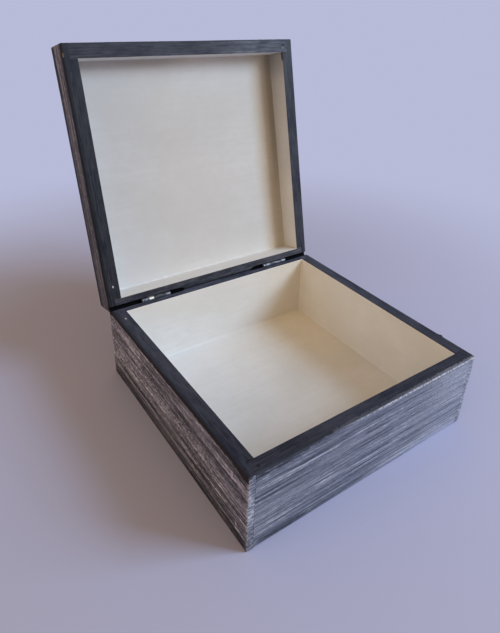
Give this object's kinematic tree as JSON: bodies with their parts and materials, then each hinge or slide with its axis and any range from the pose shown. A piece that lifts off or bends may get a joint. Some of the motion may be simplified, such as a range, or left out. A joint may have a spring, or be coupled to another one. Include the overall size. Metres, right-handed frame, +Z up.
{
  "type": "hinged lid wooden box",
  "caption": "Square wooden keepsake box: deep open base and shallow lid of the same outline, joined at the rear by pressed-in hinges and stopped open by matching chamfers.",
  "frame": {"origin": "centre of the resting face under the base", "axes": "+Z up, out of the open base; +Y from the front to the hinged rear; +X to the right seen from the front"},
  "size_m": [0.16, 0.2123, 0.2035],
  "materials": {
    "streaked_board": "dry-brushed grey and white paint over black outside, charcoal rims, ivory inside, satin",
    "painted_panel": "ivory satin paint inside, dry-brushed grey outside",
    "hinge_steel": "bright zinc, slightly worn"
  },
  "bodies": {
    "base": {"base_front_board": "streaked_board", "base_rear_board": "streaked_board", "base_left_board": "streaked_board", "base_right_board": "streaked_board", "base_bottom_panel": "painted_panel", "left_hinge_base_leaf": "hinge_steel", "left_hinge_pin": "hinge_steel", "right_hinge_base_leaf": "hinge_steel", "right_hinge_pin": "hinge_steel"},
    "lid": {"lid_front_board": "streaked_board", "lid_rear_board": "streaked_board", "lid_left_board": "streaked_board", "lid_right_board": "streaked_board", "lid_top_panel": "painted_panel", "left_hinge_lid_leaf": "hinge_steel", "right_hinge_lid_leaf": "hinge_steel"}
  },
  "joints": [
    {"name": "lid_hinge", "type": "hinge", "parent": "base", "child": "lid", "pos_m": [0, 0.0775, 0.05005], "axis": [1, 0, 0], "range_deg": [0, 103]}
  ]
}
